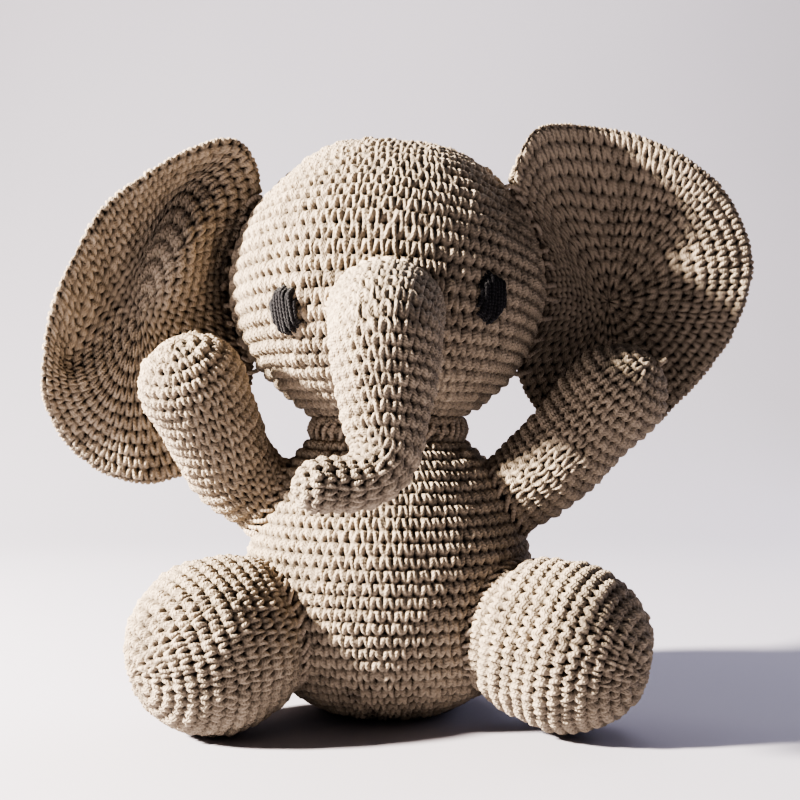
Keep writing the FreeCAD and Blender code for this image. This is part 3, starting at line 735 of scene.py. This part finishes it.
TRUNK_ROOT, TRUNK_TIP = 20.5, 9.5
TRUNK_DROP, TRUNK_LEAN = 44.5, math.radians(17.0)
TRUNK_HOOK, TRUNK_TURN, TRUNK_YAW, TRUNK_RUN = 15.0, math.radians(82.0), math.radians(20.0), 9.0
FACE_SEAM_WIDE, FACE_SEAM_TALL = 20.0, 17.5


def trunk_line(count=44):
    """Centreline from the tip back to the root, and its radii."""
    root = hinge("trunk_lift")
    heading = np.array([0, -math.sin(TRUNK_LEAN), -math.cos(TRUNK_LEAN)])
    sideways = np.array([-math.cos(TRUNK_YAW), -math.sin(TRUNK_YAW), 0])
    sideways = unit(sideways - heading * heading.dot(sideways))
    axis = unit(np.cross(heading, sideways))
    hook = TRUNK_HOOK * TRUNK_TURN
    total = TRUNK_DROP + hook + TRUNK_RUN
    centre = root + heading * TRUNK_DROP + sideways * TRUNK_HOOK
    points, radii = [], []
    for run in np.linspace(total, 0, count):
        if run <= TRUNK_DROP:
            points.append(root + heading * run)
        else:
            turned = min(run - TRUNK_DROP, hook) / TRUNK_HOOK
            past = max(run - TRUNK_DROP - hook, 0)
            points.append(centre - rotate(sideways, axis, turned) * TRUNK_HOOK
                          + rotate(heading, axis, turned) * past)
        radii.append(TRUNK_TIP + (TRUNK_ROOT - TRUNK_TIP) * (1 + math.cos(math.pi * run / total)) / 2)
    return np.array(points), np.array(radii)


FACE = np.array([[0.0, -60.0, 153.5]])
face_point, face_normal = onto_head(FACE)


def face_seam(spokes):
    """Oval on the face, each point straight behind its own side of the tube."""
    normal = face_normal[0]
    up = unit(np.array([0, 0, 1.0]) - normal * normal[2])
    forward = -(spokes @ unit(np.array([0, 0.956, -0.292])))
    wide = spokes @ np.array([1.0, 0, 0])
    flat = (wide[:, None] * np.array([1.0, 0, 0]) * FACE_SEAM_WIDE
            + forward[:, None] * up * FACE_SEAM_TALL)
    return onto_head(face_point[0] + flat, 0.2)


path, radii = trunk_line()
trunk_cage = limb_cage(path, radii, np.array([1.0, 0, 0]), face_seam, 1.0, 37, bow=0.85)
trunk = crochet("trunk_fabric", trunk_cage, wool, rng, row=4.2, stitch=3.95, relief=1.45, lump=0.4)
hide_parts("trunk_cover", "trunk_stuffing")
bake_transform(trunk)
covers["trunk"] = (trunk, trunk_cage)

# ---------------------------------------------------------------- ears

# Each ear is a round sheet of EAR_ROUNDS rounds. rim: points of its edge in order, starting outward and
# going over the top towards the head; inner: (place along the rim list, share of the radius, point).
EAR_RIMS = {
    "right": [(145, 2, 177), (135, -4, 201), (122, -8, 212), (103, -8, 223), (84, -7, 228.5),
              (67, -14, 228), (55, -23, 223), (49.5, -21, 212), (49.0, -10, 203), (58.3, 0, 190),
              (63.1, 6, 172), (61.8, 9, 154), (55.0, 10, 138), (60, 13, 122), (72, 15, 111),
              (90, 15, 107), (105, 12, 111), (116, 8, 121), (129, 4, 136), (141, 2, 157)],
    "left": [(-122.5, -34, 160), (-114, -36, 177.5), (-103, -34, 194.5), (-89, -30, 206.5),
             (-72, -22, 218), (-58, -14, 221), (-52, -8, 212), (-52.6, 0, 201), (-59.2, 5, 188),
             (-63.3, 7, 172), (-62.1, 9, 156), (-56.2, 10, 140), (-58, 12, 124), (-66, 11, 108),
             (-78, 7, 96), (-94, 1, 90), (-112, -2, 94), (-127, -8, 108), (-131.5, -18, 124),
             (-128.5, -28, 141)],
}
EAR_INNER = {
    "right": [(0, 0.0, (92, 20, 163)), (0, 0.55, (121, 3, 170)), (2, 0.55, (112, 4, 193)),
              (4.5, 0.55, (86, 13, 197)), (6.5, 0.6, (66, 3, 200)), (10, 0.5, (77, 15, 168)),
              (12.5, 0.5, (78, 17, 147)), (15, 0.55, (90, 18, 133)), (18, 0.55, (114, 9, 147))],
    "left": [(0, 0.0, (-95, -12, 157)), (0.5, 0.45, (-109, -7, 160)), (2.5, 0.45, (-95, -8, 181)),
             (4.8, 0.6, (-79, -9, 203)), (6.5, 0.45, (-77, -22, 184)), (9.5, 0.55, (-77, -12, 164)),
             (12, 0.5, (-86, -5, 143)), (15, 0.55, (-97, -6, 120)), (18.5, 0.55, (-115, -11, 133)),
             (19.5, 0.75, (-125, -14, 139))],
}
EAR_ROUNDS = 12
EAR_HALF = 1.5       # half of the sheet's thickness, mm


def spline_kernel(distance):
    return np.where(distance > 1e-9, distance**2 * np.log(np.maximum(distance, 1e-9)), 0.0)


def smooth_map(flat, solid):
    """Thin-plate map from flat points to points in space."""
    count = len(flat)
    distance = np.linalg.norm(flat[:, None] - flat[None], axis=2)
    system = np.zeros((count + 3, count + 3))
    system[:count, :count] = spline_kernel(distance) + np.eye(count) * 1e-4
    system[:count, count] = system[count, :count] = 1
    system[:count, count + 1:] = flat
    system[count + 1:, :count] = flat.T
    answer = np.linalg.solve(system, np.concatenate([solid, np.zeros((3, 3))]))

    def apply(where):
        gap = np.linalg.norm(where[:, None] - flat[None], axis=2)
        return spline_kernel(gap) @ answer[:count] + answer[count] + where @ answer[count + 1:]
    return apply


def ear_map(side_name):
    """From the flat unit circle to the middle of the cupped sheet."""
    rim = np.array(EAR_RIMS[side_name], float)
    closed = np.concatenate([rim, rim[:1]])
    run = np.concatenate([[0], np.cumsum(np.linalg.norm(np.diff(closed, axis=0), axis=1))])
    turn = run / run[-1] * TURN
    flat = [(math.cos(a), math.sin(a)) for a in turn[:-1]]
    solid = list(rim)
    for place, share, point in EAR_INNER[side_name]:
        a = np.interp(place, np.arange(len(turn)), turn)
        flat.append((share * math.cos(a), share * math.sin(a)))
        solid.append(np.array(point, float))
    return smooth_map(np.array(flat), np.array(solid))


EAR_COLUMNS, EAR_RINGS = 96, 28
ear_angles = np.arange(EAR_COLUMNS) * TURN / EAR_COLUMNS


def ear_cage(side_name):
    """Both faces of the sheet as one surface: middle of the front, rim, middle of the back."""
    apply = ear_map(side_name)
    layers = []
    for radius in np.linspace(0, 1, EAR_RINGS):
        flat = np.stack([np.cos(ear_angles), np.sin(ear_angles)], axis=1) * max(radius, 1e-3)
        layers.append(apply(flat))
    layers = np.array(layers)
    layers[0] = layers[0].mean(axis=0)
    by_radius = np.gradient(layers, axis=0)
    by_turn = np.roll(layers, -1, axis=1) - np.roll(layers, 1, axis=1)
    normal = np.cross(by_radius, by_turn)
    normal[0] = unit(normal[1].mean(axis=0))
    normal = unit(normal)
    if normal[..., 1].mean() > 0:
        normal = -normal
    front = layers + normal * EAR_HALF
    back = layers - normal * EAR_HALF
    outward = unit(by_radius[-1])
    bead = [layers[-1] + normal[-1] * EAR_HALF * math.cos(a) + outward * EAR_HALF * math.sin(a)
            for a in (math.pi / 4, math.pi / 2, 3 * math.pi / 4)]
    rows = np.concatenate([front, np.array(bead), back[::-1]])
    even, step = even_rows(rows)
    return Cage(even, step, pole_start=True, pole_end=True), layers


ears = {}
for side_name in ("left", "right"):
    cage, layers = ear_cage(side_name)
    obj = crochet(side_name + "_ear_fabric", cage, wool, rng, row=cage.length / (2 * EAR_ROUNDS + 1),
                  stitch=4.5, relief=1.5, lump=0.5, arch_down=False)
    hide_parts(side_name + "_ear")
    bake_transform(obj)
    ears[side_name] = (obj, layers)

# ---------------------------------------------------------------- eyes

EYES = {"left": (-36.7, 154.5), "right": (37.8, 159.0)}
EYE_WIDE, EYE_TALL = 5.2, 8.6    # half sizes, mm
EYE_THREAD = 0.72                # radius, mm


def eye(side_name, x, z):
    y = -HEAD_HALF[1] * math.sqrt(1 - (x / HEAD_HALF[0]) ** 2 - ((z - HEAD_Z) / HEAD_HALF[2]) ** 2)
    centre, normal = onto_head(np.array([[x, y, z]]))
    up = unit(np.array([0, 0, 1.0]) - normal[0] * normal[0][2])
    across = unit(np.cross(up, normal[0]))
    paths = []
    for layer, (count, wide) in enumerate(((9, 1.0), (7, 0.75))):
        for k in range(count):
            place = (k / (count - 1) * 2 - 1) * wide
            tall = EYE_TALL * math.sqrt(max(0.2, 1 - (place * 0.90) ** 2))
            top, bottom = tall + rng.normal(0, 0.7), -tall + rng.normal(0, 0.7)
            lean = rng.normal(0, 0.35)
            path = []
            for step in np.linspace(0, 1, 9):
                h = bottom + (top - bottom) * step
                w = place * EYE_WIDE + lean * (step - 0.5) * 2
                lift = 1.05 + layer * 0.75 + 0.45 * math.sin(math.pi * step) ** 0.5
                if step in (0.0, 1.0):
                    lift = -1.4
                spot, out = onto_head((centre[0] + up * h + across * w)[None], lift)
                path.append(spot[0])
            paths.append(path)
    return yarn(paths, EYE_THREAD, side_name + "_eye_stitches", thread, rng, sides=8, ply=2, spacing=0.6)


for side_name, (x, z) in EYES.items():
    obj = eye(side_name, x, z)
    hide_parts(side_name + "_eye")
    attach(obj, "head")

# ---------------------------------------------------------------- sewing yarn

def ring_points(cage):
    theta = np.linspace(0, TURN, 120)
    ring, _, _ = cage.sample(theta, np.full(120, cage.length - 0.4))
    return ring


def limb_out(surface, middle):
    def inner(point):
        _, normal = surface(point[None])
        away = point - middle
        away = unit(away - normal[0] * np.dot(away, normal[0]))
        out = unit(normal[0] * 0.75 - away * 0.35)
        return out, unit(normal[0] * 0.45 + away * 0.9)
    return inner


SEAMS = {"left_arm": onto_torso, "right_arm": onto_torso, "left_leg": onto_torso,
         "right_leg": onto_torso, "trunk": onto_head}
for name, surface in SEAMS.items():
    cage = covers[name][1]
    ring = ring_points(cage)
    paths = whip_stitches(ring, limb_out(surface, ring.mean(axis=0)), rng, reach=2.2, spacing=4.6,
                          bulge=0.7)
    obj = yarn(paths, YARN * 0.95, name + "_seam", seam_wool, rng)
    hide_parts(name + "_seam_yarn")
    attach(obj, "head" if name == "trunk" else "torso")

NECK_FOOT, NECK_HEAD = TORSO_TOP - 2.0, HEAD_OPEN + 2.5
levels = np.linspace(NECK_FOOT, NECK_HEAD, 8)
neck_wall = np.stack([NECK_SEAM_R * np.cos(angles) * np.ones((8, 1)),
                      NECK_SEAM_R * np.sin(angles) * np.ones((8, 1)),
                      np.repeat(levels[:, None], COLUMNS, axis=1)], axis=2)
neck = crochet("neck_fabric", Cage(*even_rows(neck_wall[::-1]), pole_start=False), wool, rng,
               row=4.6, lump=0.2)
theta = np.linspace(0, TURN, 90)
neck_line = np.stack([NECK_SEAM_R * np.cos(theta), NECK_SEAM_R * np.sin(theta),
                      np.full(90, (TORSO_TOP + HEAD_OPEN) / 2)], axis=1)


def neck_out(point):
    away = unit(np.array([point[0], point[1], 0.0]))
    return np.array([0, 0, 1.0]), away


paths = whip_stitches(neck_line, neck_out, rng, reach=4.2, spacing=4.4, bulge=1.6)
neck_seam = yarn(paths, YARN, "neck_seam", seam_wool, rng)
for obj in (neck, neck_seam):
    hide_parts("neck_seam_yarn")
    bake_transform(obj)

SEWN_GAP, SEWN_LOW, SEWN_HIGH = 7.0, 130, 206    # where an ear's rim is sewn to the head, mm
for side_name, (_, layers) in ears.items():
    rim = layers[-1]
    near, normal = onto_head(rim)
    gap = np.linalg.norm(rim - near, axis=1)
    sewn = np.where((gap < SEWN_GAP) & (rim[:, 2] > SEWN_LOW) & (rim[:, 2] < SEWN_HIGH))[0]
    order = sewn[np.argsort(rim[sewn][:, 2])]
    paths = []
    for k in order[::2]:
        edge, spot, out = rim[k], near[k], normal[k]
        inward = unit(layers[-5][k] - edge)
        shift = np.array([0, 0, rng.normal(0, 1.6)])
        start = edge + inward * rng.uniform(3.0, 6.0) + np.array([0, -2.6, 0])
        end = onto_head((spot + np.array([0, -rng.uniform(4, 8), 0]) + shift)[None], -1.0)[0][0]
        middle = (start + end) / 2 + out * 1.2 + np.array([0, -1.6, 0])
        paths.append([start + np.array([0, 3.2, 0]), start, middle,
                      onto_head(end[None], 1.0)[0][0], end])
    obj = yarn(paths, YARN, side_name + "_ear_seam", seam_wool, rng)
    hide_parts(side_name + "_ear_seam_yarn")
    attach(obj, "head")

# ---------------------------------------------------------------- stage, light, camera

floor_mat, nodes, links, shader = new_material("pale_backdrop")
shader.inputs["Roughness"].default_value = 0.95
noise = nodes.new("ShaderNodeTexNoise")
noise.inputs["Scale"].default_value = 3.0
coords = nodes.new("ShaderNodeTexCoord")
links.new(coords.outputs["Object"], noise.inputs["Vector"])
mix = nodes.new("ShaderNodeMix")
mix.data_type = "RGBA"
mix.inputs[6].default_value = (0.32, 0.315, 0.365, 1)
mix.inputs[7].default_value = (0.35, 0.342, 0.39, 1)
links.new(noise.outputs["Fac"], mix.inputs[0])
links.new(mix.outputs[2], shader.inputs["Base Color"])

# the backdrop is a floor that bends up into a wall, m
FLOOR_FRONT, BEND_AT, BEND_R, WALL_TOP, HALF_WIDTH = -3.0, 0.55, 0.9, 3.2, 4.0
profile = [(FLOOR_FRONT, 0.0)]
for a in np.linspace(0, math.pi / 2, 24):
    profile.append((BEND_AT + BEND_R * math.sin(a), BEND_R - BEND_R * math.cos(a)))
profile.append((BEND_AT + BEND_R, WALL_TOP))
verts = [(x, y, z) for x in (-HALF_WIDTH, HALF_WIDTH) for y, z in profile]
count = len(profile)
quads = [(k, k + 1, count + k + 1, count + k) for k in range(count - 1)]
sweep_mesh = bpy.data.meshes.new("backdrop")
sweep_mesh.from_pydata(verts, [], quads)
sweep_mesh.polygons.foreach_set("use_smooth", [True] * len(quads))
sweep_mesh.materials.append(floor_mat)
sweep = bpy.data.objects.new("backdrop", sweep_mesh)
bpy.context.scene.collection.objects.link(sweep)

TARGET = Vector((0.0, -0.01, 0.125))      # where the lights point, m


def area_light(name, place, size, power, colour):
    light = bpy.data.lights.new(name, "AREA")
    light.shape = "DISK"
    light.size = size
    light.energy = power
    light.color = colour
    obj = bpy.data.objects.new(name, light)
    obj.location = place
    obj.rotation_mode = "QUATERNION"
    obj.rotation_quaternion = (TARGET - Vector(place)).to_track_quat("-Z", "Y")
    bpy.context.scene.collection.objects.link(obj)


area_light("key", (-1.17, -0.40, 0.70), 0.13, 165.0, (1.0, 0.91, 0.79))
area_light("rim", (0.75, 0.5, 0.35), 0.5, 3.5, (0.84, 0.82, 1.0))
area_light("wash", (0.3, 0.75, 1.6), 1.2, 15.0, (0.90, 0.90, 1.0))

world = bpy.data.worlds.new("room")
bpy.context.scene.world = world
world.use_nodes = True
nodes, links = world.node_tree.nodes, world.node_tree.links
dim = nodes["Background"]                         # what lights the toy from all round
dim.inputs["Color"].default_value = (0.86, 0.84, 0.92, 1)
dim.inputs["Strength"].default_value = 0.13
pale = nodes.new("ShaderNodeBackground")          # what is seen beyond the backdrop
pale.inputs["Color"].default_value = (0.86, 0.85, 0.90, 1)
pale.inputs["Strength"].default_value = 0.85
seen = nodes.new("ShaderNodeLightPath")
either = nodes.new("ShaderNodeMixShader")
links.new(seen.outputs["Is Camera Ray"], either.inputs[0])
links.new(dim.outputs[0], either.inputs[1])
links.new(pale.outputs[0], either.inputs[2])
links.new(either.outputs[0], nodes["World Output"].inputs["Surface"])
bpy.context.scene.view_settings.look = "AgX - High Contrast"

camera_data = bpy.data.cameras.new("camera")
camera_data.lens = 54.0
camera_data.sensor_width = 36.0
camera = bpy.data.objects.new("camera", camera_data)
camera.location = (0.0048, -0.480, 0.122)
camera.rotation_mode = "QUATERNION"
camera.rotation_quaternion = Vector((0, 1, 0)).to_track_quat("-Z", "Y")
bpy.context.scene.collection.objects.link(camera)
bpy.context.scene.camera = camera
